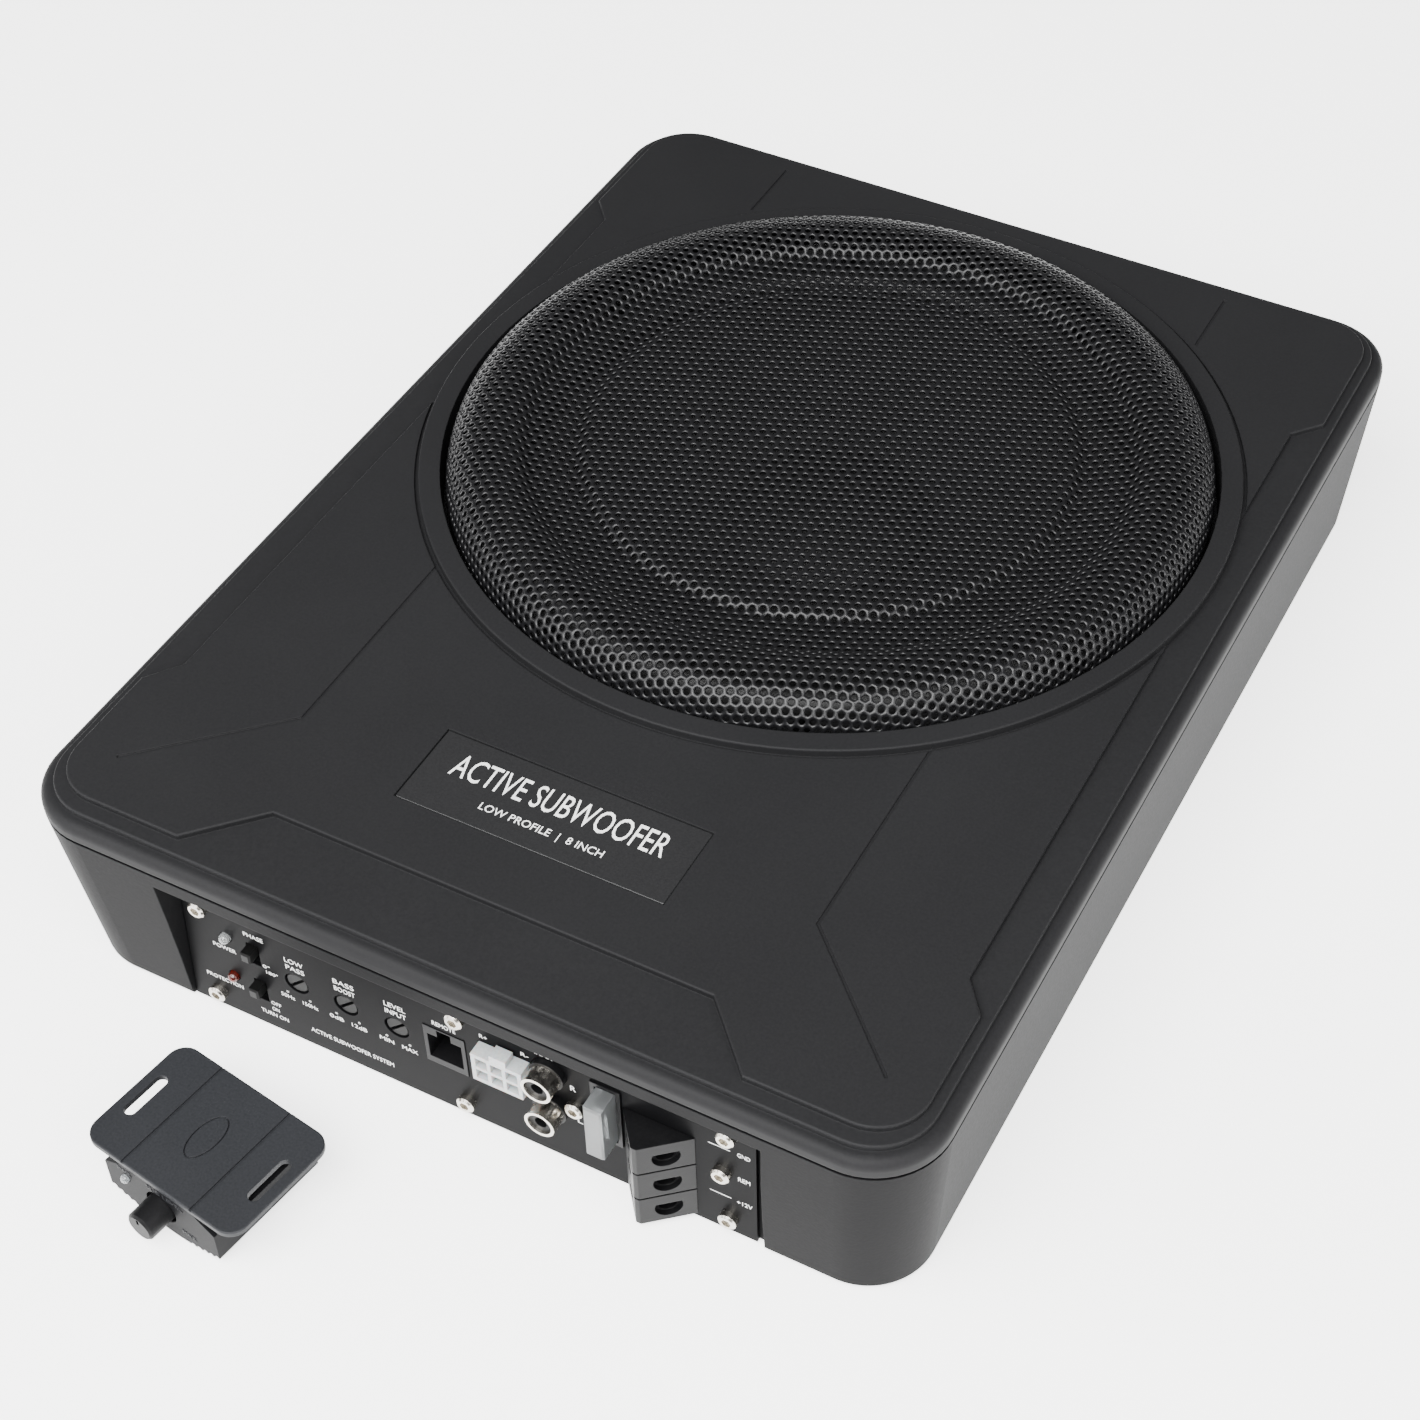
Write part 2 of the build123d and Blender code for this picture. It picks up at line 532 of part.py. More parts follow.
# ---------------------------------------------------------------- amplifier
def amplifier_parts():
    board_z = 9.0
    posts = [(x, y) for x in (-78, 78) for y in (-138, -78)]
    board = box((-84, 84), (-146, -72), (board_z, board_z + 1.6))
    for at in posts:
        board -= rod(1.8, (0, 20), at)
    add("amplifier_board", board)
    add("board_standoffs", *[rod(3.2, (FOOT_HEIGHT + WALL, board_z), at) for at in posts])
    sink = box((-62, 62), (-88, -76), (board_z + 1.6, 42))
    fins = 15
    for i in range(fins):
        x = -58 + i * 8.1
        sink -= box((x, x + 4.6), (-85.4, -70), (16, 50))
    add("heatsink", sink)
    coil = [(8, 10.8), (20, 10.8), (22, 13), (22, 24), (20, 26.4), (8, 26.4), (6, 24), (6, 13)]
    add("transformer", turned(coil, (48, -116)))
    cans = [rod(8, (board_z + 1.7, 38), (x, -112)) for x in (-60, -40, -20)]
    add("capacitors", *[fillet(top_edges(can), 1.2) for can in cans])


# ---------------------------------------------------------------- wired level control
def placed(shape):
    """Set a piece of the level control down at its place in front of the case."""
    return Pos(REMOTE_AT[0], REMOTE_AT[1], 0) * Rot(0, 0, REMOTE_TURN) * shape


def belly(inset, y):
    """The control's front outline, with its bowed underside and cut shoulders, pulled through its depth."""
    w = REMOTE_W / 2 - inset
    low = 3.4 + inset * 0.8
    dx, dz = REMOTE_SHOULDER
    top = REMOTE_H
    arc = ThreePointArc((-w, 0, low), (0, 0, inset), (w, 0, low))
    right = [(w, low), (w, top - dz), (w - dx, top)]
    rest = Polyline(*[(x, 0, z) for x, z in right + [(-x, z) for x, z in reversed(right)]])
    return Pos(0, y[0], 0) * extrude(make_face([arc, rest]), y[1] - y[0], dir=(0, 1, 0))


def remote_housing():
    half = REMOTE_D / 2
    body = belly(0, (-half, half)) - belly(1.6, (-half + 1.8, half - 1.6))
    for i in range(5):
        for sx in (-1, 1):
            u = sx * (9.0 + 2.1 * i)
            low = 3.4 * (u / (REMOTE_W / 2)) ** 2
            body -= rod_y(0.75, (-half - 1, half + 1), (u, low - 0.15))
    for at in REMOTE_POSTS:
        body += rod(3.0, (2.5, POST_TOP), at)
    for at in REMOTE_POSTS:
        body -= rod(1.1, (0, POST_TOP + 1), at) + rod(2.2, (-1, 5.4), at)
    body -= rod_y(KNOB_R + 0.8, (-half - 1, -half + 3), (0, KNOB_Z))
    body -= rod_y(1.35, (-half - 1, -half + 3), LAMP_AT)
    return body - box((-5.2, 5.2), (half - 3, half + 1), (4.6, 13.2))


def remote_bracket():
    """The slotted plate on top of the control, with two bosses that take its screws."""
    dy = (PLATE_D - REMOTE_D) / 2
    top = REMOTE_H + PLATE_T
    plate = slab(PLATE_W, PLATE_D, 5, (REMOTE_H, top), dy)
    plate = fillet(top_edges(plate), 0.4)
    for sx in (-1, 1):
        plate -= extrude(Pos(sx * 20.9, dy, REMOTE_H - 1) * Rot(0, 0, 90) * SlotOverall(13.6, 3.4), 4)
        plate -= box((sx * 11.5 - 0.4, sx * 11.5 + 0.4), (-20, 20), (top - 0.5, top + 1))
    plate -= extrude(Pos(0, dy, top - 0.4) * (Ellipse(3.6, 7) - Ellipse(3.2, 6.6)), 2)
    for at in REMOTE_POSTS:
        plate += rod(1.9, (POST_TOP + 0.2, REMOTE_H + 0.4), at) - rod(1.05, (POST_TOP, REMOTE_H - 0.4), at)
    return plate


def remote_parts():
    half = REMOTE_D / 2
    knob_at = (0, KNOB_Z)
    add("remote_housing", placed(remote_housing()))
    add("remote_bracket", placed(remote_bracket()))
    screws = [rod(2.0, (3.9, 5.3), at) + rod(1.0, (5, 15.4), at) for at in REMOTE_POSTS]
    slots = [Pos(at[0], at[1], 3.9) * Box(0.6, 2.8, 1.0) for at in REMOTE_POSTS]
    add("remote_screws", *[placed(screw - slot) for screw, slot in zip(screws, slots)])
    knob = rod_y(KNOB_R, (-half - KNOB_OUT, -half + 3.4), knob_at)
    knob = chamfer(front_edges(knob), 0.6)
    knob -= Pos(0, -half - KNOB_OUT, KNOB_Z + 2.4) * Box(0.8, 0.8, 1.8)
    add("remote_knob", placed(knob + rod_y(2.0, (-half + 3, -half + 8), knob_at)))
    pot = block_y(knob_at, 10, 9, (-half + 4.2, -half + 11)) - rod_y(2.05, (-half + 4, -half + 8.4), knob_at)
    add("remote_pot", placed(pot))
    lamp_y = -half - 0.3
    lamp = rod_y(1.2, (lamp_y, -half + 3), LAMP_AT) + Pos(LAMP_AT[0], lamp_y, LAMP_AT[1]) * Sphere(1.2)
    add("remote_led", placed(lamp))
    plug = block_y((0, 8.9), 10, 8.2, (half - 10, half + 0.1))
    add("remote_socket", placed(plug - block_y((0, 8.9), 7.6, 5.8, (half - 8, half + 2))))


def main():
    case_parts()
    add("grille", grille())
    driver_parts()
    panel_parts()
    amplifier_parts()
    remote_parts()
    os.makedirs("parts", exist_ok=True)
    for name, shape in PARTS.items():
        export_step(shape, "parts/%s.step" % name)
    print(len(PARTS), "sub-parts")


main()
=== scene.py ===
import math

import bmesh
import bpy
import numpy as np
from mathutils import Matrix, Vector


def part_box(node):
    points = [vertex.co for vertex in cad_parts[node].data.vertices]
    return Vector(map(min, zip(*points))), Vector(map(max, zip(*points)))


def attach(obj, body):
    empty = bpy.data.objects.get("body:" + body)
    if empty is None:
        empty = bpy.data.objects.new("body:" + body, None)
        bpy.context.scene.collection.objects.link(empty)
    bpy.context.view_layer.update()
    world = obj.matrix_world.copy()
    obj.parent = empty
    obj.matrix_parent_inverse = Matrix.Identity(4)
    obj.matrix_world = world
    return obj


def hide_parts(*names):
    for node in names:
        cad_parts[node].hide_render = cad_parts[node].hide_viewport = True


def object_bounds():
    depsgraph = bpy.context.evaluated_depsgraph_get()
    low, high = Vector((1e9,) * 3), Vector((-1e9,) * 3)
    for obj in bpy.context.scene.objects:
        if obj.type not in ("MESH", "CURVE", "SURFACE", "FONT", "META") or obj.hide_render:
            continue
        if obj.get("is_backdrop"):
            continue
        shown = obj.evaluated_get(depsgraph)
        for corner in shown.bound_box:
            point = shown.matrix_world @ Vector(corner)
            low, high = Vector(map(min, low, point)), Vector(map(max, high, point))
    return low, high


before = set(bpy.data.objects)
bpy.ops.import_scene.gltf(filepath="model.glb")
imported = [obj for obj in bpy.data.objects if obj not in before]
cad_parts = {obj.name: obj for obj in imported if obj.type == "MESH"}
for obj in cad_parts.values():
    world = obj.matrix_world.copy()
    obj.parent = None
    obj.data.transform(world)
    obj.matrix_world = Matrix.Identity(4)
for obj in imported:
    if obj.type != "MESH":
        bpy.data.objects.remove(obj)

bl_info = {
    "name": "Powered Car Subwoofer",
    "version": (1, 0, 0),
    "blender": (4, 5, 0),
    "location": "View3D > Sidebar > Subwoofer",
    "description": "Finishes and fine pieces of a shallow powered car subwoofer with a wired level control",
    "category": "Object",
}

MM = 0.001
CAD_LOW, CAD_HIGH = (Vector(corner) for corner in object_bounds())
COLLECTION = bpy.context.scene.collection
UPRIGHT = Matrix.Rotation(math.radians(90), 4, "X")
INK = 0.04 * MM


# ---------------------------------------------------------------- places taken from the frame
def middle(node):
    """The middle of a CAD node's box."""
    low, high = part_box(node)
    return (low + high) / 2


PANEL_LOW, PANEL_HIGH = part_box("connector_panel")
PANEL_FACE_Y = PANEL_LOW.y
GRILLE_LOW, GRILLE_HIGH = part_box("grille")
DRIVER_CENTRE = Vector((0.0, (GRILLE_LOW.y + GRILLE_HIGH.y) / 2, 0.0))
CONTROL_TURN = math.radians(-9.0)
CONTROL_MIDDLE = middle("remote_bracket")


# ---------------------------------------------------------------- settings a user would change
class SubwooferGrilleSettings(bpy.types.PropertyGroup):
    """Sizes of the perforated sheet"""
    pitch: bpy.props.FloatProperty(
        name="Hole pitch", description="Distance between neighbouring hole centres in the sheet",
        default=2.9 * MM, min=2 * MM, max=8 * MM, unit="LENGTH")
    hole: bpy.props.FloatProperty(
        name="Hole diameter", description="Diameter of each punched hole",
        default=1.88 * MM, min=1 * MM, max=6 * MM, unit="LENGTH")
    lay: bpy.props.FloatProperty(
        name="Row angle", description="Turn of the staggered rows of holes from the case's long side",
        default=math.radians(-7.2), subtype="ANGLE", unit="ROTATION")
    thickness: bpy.props.FloatProperty(
        name="Sheet thickness", description="Thickness of the perforated steel sheet",
        default=0.8 * MM, min=0.3 * MM, max=2 * MM, unit="LENGTH")


class SubwooferColourSettings(bpy.types.PropertyGroup):
    """Colours of the large surfaces and the print"""
    cover: bpy.props.StringProperty(
        name="Cover", description="sRGB hex colour of the moulded cover", default="#1b1b1c")
    shell: bpy.props.StringProperty(
        name="Shell", description="sRGB hex colour of the powder-coated lower shell", default="#0d0d0e")
    grille: bpy.props.StringProperty(
        name="Grille", description="sRGB hex colour of the coated grille sheet", default="#0e0e0f")
    panel: bpy.props.StringProperty(
        name="Panel", description="sRGB hex colour of the connector panel", default="#0a0a0b")
    print: bpy.props.StringProperty(
        name="Print", description="sRGB hex colour of the printed legends", default="#f4f4f2")


class SubwooferStageSettings(bpy.types.PropertyGroup):
    """Where the camera stands and how bright the studio is"""
    azimuth: bpy.props.FloatProperty(
        name="Azimuth", description="Camera direction round the case, from straight in front of the panel",
        default=math.radians(27.94), subtype="ANGLE", unit="ROTATION")
    elevation: bpy.props.FloatProperty(
        name="Elevation", description="Camera height angle above the floor",
        default=math.radians(46.06), subtype="ANGLE", unit="ROTATION")
    distance: bpy.props.FloatProperty(
        name="Distance", description="Camera distance from the origin",
        default=0.7619, min=0.2, max=5.0, unit="LENGTH")
    lens: bpy.props.FloatProperty(
        name="Focal length", description="Camera focal length on a 36 mm sensor",
        default=66.92, min=20, max=200, unit="CAMERA")
    aim: bpy.props.FloatProperty(
        name="Aim height", description="Height above the floor that the camera turns round",
        default=1.0 * MM, min=0, max=0.2, unit="LENGTH")
    light: bpy.props.FloatProperty(
        name="Light", description="Brightness of the softboxes and the studio walls, as a share of the usual",
        default=1.0, min=0, max=20)


# ---------------------------------------------------------------- materials: helpers
def srgb(code):
    """A linear RGBA colour from an sRGB hex code."""
    parts = [int(code[i:i + 2], 16) / 255 for i in (1, 3, 5)]
    return [c / 12.92 if c <= 0.04045 else ((c + 0.055) / 1.055) ** 2.4 for c in parts] + [1.0]


def darker(code, share):
    """The same sRGB colour with each channel scaled. A share above 1 makes it lighter."""
    parts = [min(255, int(int(code[i:i + 2], 16) * share)) for i in (1, 3, 5)]
    return "#%02x%02x%02x" % tuple(parts)


def add_node(tree, kind, links=None, **settings):
    """Adds a node. Settings are its properties or unlinked inputs; links join its inputs to sockets."""
    node = tree.nodes.new(kind)
    for name, value in settings.items():
        label = name.replace("_", " ").title()
        if hasattr(node, name):
            setattr(node, name, value)
        else:
            node.inputs[label].default_value = value
    for name, socket in (links or {}).items():
        tree.links.new(socket, node.inputs[name])
    return node


def new_material(name, **shader_settings):
    """A material with one Principled shader, and the shader and object coordinates to build on."""
    material = bpy.data.materials.new(name)
    material.use_nodes = True
    tree = material.node_tree
    shader = tree.nodes["Principled BSDF"]
    for label, value in shader_settings.items():
        shader.inputs[label.replace("_", " ")].default_value = value
    place = add_node(tree, "ShaderNodeTexCoord").outputs["Object"]
    return material, tree, shader, place


def patterned(tree, shader, pattern, tones, relief, gloss=None, tone_pattern=None, contrast=(0.0, 1.0),
              edge_mm=0.0):
    """Carries a pattern into a surface's colour, gloss and fine relief.

    Tones are the darkest and lightest colour, relief is a strength and a depth in millimetres, and gloss is
    the least and most roughness. Contrast is the stretch of the pattern over which the colour runs. The
    colour follows tone_pattern where one is given. Edge_mm is the radius that softens sharp edges."""
    tone = add_node(tree, "ShaderNodeValToRGB", {"Fac": pattern if tone_pattern is None else tone_pattern})
    for stop, colour, position in zip(tone.color_ramp.elements, tones, contrast):
        stop.color = srgb(colour)
        stop.position = position
    tree.links.new(tone.outputs["Color"], shader.inputs["Base Color"])
    if gloss is not None:
        least, most = gloss
        sheen = add_node(tree, "ShaderNodeMapRange", {"Value": pattern}, to_min=least, to_max=most)
        tree.links.new(sheen.outputs["Result"], shader.inputs["Roughness"])
    strength, depth_mm = relief
    links = {"Height": pattern}
    if edge_mm:
        edges = add_node(tree, "ShaderNodeBevel", samples=4, radius=edge_mm * MM)
        links["Normal"] = edges.outputs["Normal"]
    ripple = add_node(tree, "ShaderNodeBump", links, strength=strength, distance=depth_mm * MM)
    tree.links.new(ripple.outputs["Normal"], shader.inputs["Normal"])


# Moulded, sprayed and plated grains are a few hundredths to a few tenths of a millimetre, too fine to show,
# so the finishes below draw theirs several times coarser. The base colours and specular levels of the black
# finishes are matched to the object's deep tone beside a bright floor, and lie below the typical values.
CLOUD_MM = 45
CLOUD_SHARE = 0.35


def grained(name, dark, light, grain_mm, depth_mm, rough, strength=0.35, edge_mm=0.0, **shader_settings):
    """A coloured surface with a fine irregular grain, uneven sheen and soft cloudy colour."""
    material, tree, shader, place = new_material(name, **shader_settings)
    grain = add_node(tree, "ShaderNodeTexNoise", {"Vector": place}, scale=1 / (grain_mm * MM), detail=3.0)
    cloud = add_node(tree, "ShaderNodeTexNoise", {"Vector": place}, scale=1 / (CLOUD_MM * MM), detail=4.0)
    both = add_node(tree, "ShaderNodeMix", {"A": grain.outputs["Fac"], "B": cloud.outputs["Fac"]},
                    factor=CLOUD_SHARE)
    patterned(tree, shader, grain.outputs["Fac"], (dark, light), (strength, depth_mm),
              gloss=(rough - 0.05, rough + 0.06), tone_pattern=both.outputs["Result"], contrast=(0.3, 0.7),
              edge_mm=edge_mm)
    return material


def plated(name, dark, light, rough):
    """Plated or extruded metal: a mirror dulled in streaks, which are drawn coarser than real ones."""
    material, tree, shader, place = new_material(name, Metallic=1.0)
    streak = add_node(tree, "ShaderNodeTexNoise", {"Vector": place}, scale=1 / (1.6 * MM), detail=1.0)
    patterned(tree, shader, streak.outputs["Fac"], (dark, light), (0.06, 0.01),
              gloss=(rough - 0.08, rough + 0.12), edge_mm=0.15)
    return material


def clear_moulding(name, tint, rough=0.12, ior=1.58):
    """A clear or tinted moulding: glass-like, with faint flow waves."""
    material, tree, shader, place = new_material(name, IOR=ior, Transmission_Weight=0.85)
    flow = add_node(tree, "ShaderNodeTexNoise", {"Vector": place}, scale=1 / (1.2 * MM), detail=2.0)
    patterned(tree, shader, flow.outputs["Fac"], (tint, darker(tint, 1.15)), (0.2, 0.05),
              gloss=(rough, rough + 0.2))
    return material


def dress(node, material):
    """Gives a CAD node its material."""
    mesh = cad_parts[node].data
    mesh.materials.clear()
    mesh.materials.append(material)
    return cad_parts[node]


# ---------------------------------------------------------------- materials: the finishes
def spark_textured_abs(colour):
    """Moulded ABS cover: a fine spark-eroded grain that scatters light to an even dark grey."""
    return grained("spark_textured_abs", darker(colour, 0.9), darker(colour, 1.1), 0.7, 0.06, 0.56,
                   strength=0.3, edge_mm=0.45, IOR=1.5, Specular_IOR_Level=0.1)


def powder_coated_casting(colour):
    """Powder coat on cast aluminium: a fine orange-peel grain, a little shinier than the cover."""
    return grained("powder_coated_casting", darker(colour, 0.88), darker(colour, 1.12), 0.9, 0.08, 0.5,
                   strength=0.35, edge_mm=0.5, IOR=1.5, Specular_IOR_Level=0.03)


def coated_grille_steel(colour):
    """Powder-coated punched steel: near black, with satin highlights along the dome's ridges."""
    return grained("coated_grille_steel", darker(colour, 0.85), darker(colour, 1.2), 0.5, 0.03, 0.36,
                   strength=0.2, IOR=1.5, Specular_IOR_Level=0.34)


def coated_panel_steel(colour):
    """Satin powder coat on the flat connector panel: smooth, with a very faint peel."""
    return grained("coated_panel_steel", darker(colour, 0.92), darker(colour, 1.08), 0.6, 0.03, 0.42,
                   strength=0.2, edge_mm=0.15, IOR=1.5, Specular_IOR_Level=0.03)


def nickel_plate():
    """Bright nickel over steel: a warm mirror with fine turning marks."""
    return plated("bright_nickel_plate", "#b9b4ab", "#d8d4cc", 0.22)


def zinc_plate():
    """Clear zinc over steel: grey, with a soft spangle."""
    return plated("clear_zinc_plate", "#8f9192", "#b4b6b6", 0.38)


def tin_plated_brass():
    """Bright tin over brass, on the pins and fuse blades: pale metal with a warm cast."""
    return plated("tin_plated_brass", "#9a978d", "#c4c1b6", 0.3)


def extruded_aluminium():
    """Mill-finish extruded aluminium of the heatsink: light grey with soft, uneven reflections."""
    return plated("extruded_aluminium", "#a6a8aa", "#c9cacb", 0.4)


def black_zinc_plate():
    """Black zinc on the cover's and driver's screws: dark metal with a dull gleam."""
    return grained("black_zinc_plate", "#141414", "#232324", 0.3, 0.02, 0.35, Metallic=0.8)


def moulded_nitrile_rubber():
    """Moulded nitrile rubber of the pads: matt charcoal that hardly catches the light."""
    return grained("moulded_nitrile_rubber", "#161616", "#1f1f1f", 0.8, 0.05, 0.75)


def satin_badge_film():
    """Satin film over the badge: smoother than the cover round it, so it has a softer, broader sheen."""
    return grained("satin_badge_film", "#161617", "#1c1c1d", 0.5, 0.02, 0.38, edge_mm=0.2)


def black_electrocoat():
    """Electrocoat on the pressed basket: a thin, even black with a low sheen."""
    return grained("black_electrocoat", "#141415", "#1d1d1e", 0.6, 0.02, 0.4)


def closed_cell_foam():
    """Cut closed-cell foam of the gasket: cut pores that swallow the light."""
    return grained("closed_cell_foam", "#121212", "#1c1c1c", 0.5, 0.2, 0.9)


def butyl_rubber():
    """Moulded butyl rubber of the surround: soft black with a broad, dull highlight."""
    return grained("butyl_rubber", "#101010", "#171717", 0.7, 0.03, 0.5)


def pressed_fibre():
    """Pressed paper pulp of the cone: matt, with a felted fibre texture."""
    return grained("pressed_fibre", "#131313", "#1e1e1e", 0.6, 0.15, 0.8, strength=0.5)


def coated_fibre_cap():
    """Coated paper pulp of the dust cap: the cone's fibre under a thin coat with a slight sheen."""
    return grained("coated_fibre_cap", "#101010", "#191919", 0.5, 0.1, 0.6)


def sintered_ferrite():
    """Sintered ferrite of the magnet: dark slate grey and faintly gritty."""
    return grained("sintered_ferrite", "#1b1b1c", "#2a2a2b", 0.6, 0.05, 0.6)


def fibre_terminal_board():
    """Phenolic paper board of the driver's terminals: flat brown with a faint fibre."""
    return grained("fibre_terminal_board", "#5a3b22", "#7a5533", 0.5, 0.05, 0.6)


def moulded_acetal():
    """Moulded acetal of the levers and shafts: waxy black with a soft highlight."""
    return grained("moulded_acetal", "#060606", "#0b0b0b", 0.5, 0.03, 0.4, edge_mm=0.2,
                   Specular_IOR_Level=0.12)


def glass_filled_nylon():
    """Moulded glass-filled nylon of the switch and pot bodies: matt black, as the fibres roughen the skin."""
    return grained("glass_filled_nylon", "#060607", "#0b0b0c", 0.6, 0.05, 0.55, edge_mm=0.2,
                   Specular_IOR_Level=0.1)


def black_socket_nylon():
    """Moulded nylon of the sockets and terminal block: black, with a little more sheen than the panel."""
    return grained("black_socket_nylon", "#070708", "#0d0d0e", 0.6, 0.05, 0.42, edge_mm=0.25,
                   Specular_IOR_Level=0.14)


def milky_nylon():
    """Moulded natural nylon: milky white, and light sinks in a little, so its edges glow."""
    return grained("natural_nylon", "#8f9293", "#aaadad", 0.8, 0.03, 0.4, strength=0.15, edge_mm=0.25,
                   IOR=1.53, Subsurface_Weight=0.35, Subsurface_Scale=1.2 * MM)


def clear_polysulfone():
    """Moulded polysulfone of the fuse: clear, a little smoky and hazed, so it reads as grey glass."""
    return clear_moulding("clear_polysulfone", "#8d9091", rough=0.25)


def water_clear_epoxy():
    """Cast epoxy of the power lamp: water clear and bright at the tip."""
    return clear_moulding("water_clear_epoxy", "#d9dcdc")


def red_tinted_epoxy():
    """Cast epoxy of the protection lamp: a deep, unlit red."""
    return clear_moulding("red_tinted_epoxy", "#7c2a1c")


def control_lamp_epoxy():
    """Cast epoxy of the level control's lamp: clear with a cool cast."""
    return clear_moulding("control_lamp_epoxy", "#cfd4d6")


def solder_masked_laminate():
    """Glass-epoxy board under sprayed solder mask: deep green with a smooth, glossy face."""
    return grained("solder_masked_laminate", "#0f3a20", "#1a5230", 1.5, 0.02, 0.35)


def polyester_winding_tape():
    """Polyester tape wound round the transformer: amber, with a plastic sheen."""
    return grained("polyester_winding_tape", "#8a6f1a", "#b8952b", 2.0, 0.1, 0.4)


def shrink_sleeve():
    """Heat-shrunk sleeve of the capacitors: a tight dark blue skin with clear highlights."""
    return grained("shrink_sleeve", "#10141f", "#1a2133", 1.0, 0.02, 0.25)


def fine_textured_abs():
    """Moulded, fine-textured ABS of the control's plate: cool dark grey with a soft, even sheen."""
    return grained("fine_textured_abs", "#191a1c", "#232427", 0.6, 0.06, 0.5, edge_mm=0.3,
                   Specular_IOR_Level=0.2)


def fine_textured_abs_with_painted_shade():
    """The same ABS on the control's body, with painted shade: its upright faces come out brighter, so its
    colour is painted darker than the plate's.
    """
    return grained("fine_textured_abs_with_painted_shade", "#0a0a0b", "#101012", 0.6, 0.06, 0.5, edge_mm=0.3,
                   Specular_IOR_Level=0.06)


def satin_moulded_knob():
    """Satin moulding of the control's dial: smooth black with a soft highlight on the rim."""
    return grained("satin_moulded_knob", "#0c0c0d", "#121213", 0.5, 0.04, 0.42, edge_mm=0.25,
                   Specular_IOR_Level=0.1)


def control_socket_nylon():
    """Moulded nylon of the control's pot and socket: plain matt black."""
    return grained("control_socket_nylon", "#0e0e0f", "#171718", 0.6, 0.05, 0.5)


def wound_copper():
    """Enamelled copper wire: close turns stacked along the former. The wave texture repeats every 0.314 of
    its unit, so a unit of 1.6 mm draws a turn every 0.5 mm."""
    material, tree, shader, place = new_material("enamelled_copper_wire", Metallic=0.9, Roughness=0.35)
    turns = add_node(tree, "ShaderNodeTexWave", {"Vector": place}, scale=1 / (1.6 * MM), bands_direction="Z")
    patterned(tree, shader, turns.outputs["Fac"], ("#6b3417", "#c07640"), (0.6, 0.15))
    return material


def woven_cotton():
    """Resin-stiffened woven cotton of the spider: two crossed sets of threads. Real ones are about 0.6 mm
    apart. A unit of 3.8 mm draws them 1.2 mm apart, so that they show."""
    material, tree, shader, place = new_material("resin_stiffened_cotton", Roughness=0.85, Sheen_Weight=0.3)
    across = add_node(tree, "ShaderNodeTexWave", {"Vector": place}, scale=1 / (3.8 * MM), bands_direction="X")
    along = add_node(tree, "ShaderNodeTexWave", {"Vector": place}, scale=1 / (3.8 * MM), bands_direction="Y")
    weave = add_node(tree, "ShaderNodeMath", operation="MAXIMUM")
    tree.links.new(across.outputs["Fac"], weave.inputs[0])
    tree.links.new(along.outputs["Fac"], weave.inputs[1])
    patterned(tree, shader, weave.outputs["Value"], ("#7c6a35", "#b6a058"), (0.5, 0.1))
    return material


def printed_ink(colour):
    """Screen-printed ink: flat white, a little uneven where the screen laid it thin."""
    return grained("screen_printed_ink", darker(colour, 0.86), colour, 0.8, 0.01, 0.5, strength=0.1)


def pale_floor():
    """The studio floor: a smooth white board that gives off light of its own, so it reads as plain white."""
    return grained("white_studio_board", "#f2f2f1", "#f7f7f6", 4.0, 0.02, 0.6, strength=0.05,
                   Emission_Color=srgb("#ffffff"), Emission_Strength=2.2)


# ---------------------------------------------------------------- meshes: helpers
LETTER_CURVE_STEPS = 3


def link_piece(name, mesh, body, material):
    """Puts a finished mesh in the scene as a piece that rides on a body."""
    piece = bpy.data.objects.new(name, mesh)
    COLLECTION.objects.link(piece)
    mesh.materials.clear()
    mesh.materials.append(material)
    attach(piece, body)
    return piece


def lettering(text, size, thickness):
    """A mesh of plain capitals lying in the XY plane, middle on the origin."""
    curve = bpy.data.curves.new("legend", "FONT")
    curve.body = text
    curve.size = size
    curve.extrude = thickness
    curve.align_x = "CENTER"
    curve.align_y = "CENTER"
    curve.resolution_u = LETTER_CURVE_STEPS
    writer = bpy.data.objects.new("legend", curve)
    COLLECTION.objects.link(writer)
    bpy.context.view_layer.update()
    mesh = bpy.data.meshes.new_from_object(writer)
    bpy.data.objects.remove(writer)
    return mesh


def legend(text, width, height, thickness):
    """Lettering stretched to an exact width and height."""
    mesh = lettering(text, height, thickness)
    across = [v.co.x for v in mesh.vertices]
    up = [v.co.y for v in mesh.vertices]
    middle_x, middle_y = (min(across) + max(across)) / 2, (min(up) + max(up)) / 2
    grow = Matrix.Diagonal((width / (max(across) - min(across)), height / (max(up) - min(up)), 1, 1))
    mesh.transform(grow @ Matrix.Translation((-middle_x, -middle_y, 0)))
    return mesh


def joined(name, pieces):
    """One mesh from (mesh, matrix) pairs."""
    whole = bmesh.new()
    for mesh, matrix in pieces:
        mesh.transform(matrix)
        whole.from_mesh(mesh)
        bpy.data.meshes.remove(mesh)
    result = bpy.data.meshes.new(name)
    whole.to_mesh(result)
    whole.free()
    return result


def flat_bar(width, height, thickness):
    """A thin bar with a point at each end, lying in the XY plane."""
    shape = bmesh.new()
    ends = [(-width / 2, 0), (-width / 2 + height, -height / 2), (width / 2 - height, -height / 2),
            (width / 2, 0), (width / 2 - height, height / 2), (-width / 2 + height, height / 2)]
    face = shape.faces.new([shape.verts.new((x, y, 0)) for x, y in ends])
    raised = bmesh.ops.extrude_face_region(shape, geom=[face])["geom"]
    tops = [v for v in raised if isinstance(v, bmesh.types.BMVert)]
    bmesh.ops.translate(shape, verts=tops, vec=(0, 0, thickness))
    bmesh.ops.recalc_face_normals(shape, faces=shape.faces)
    mesh = bpy.data.meshes.new("bar")
    shape.to_mesh(mesh)
    shape.free()
    return mesh


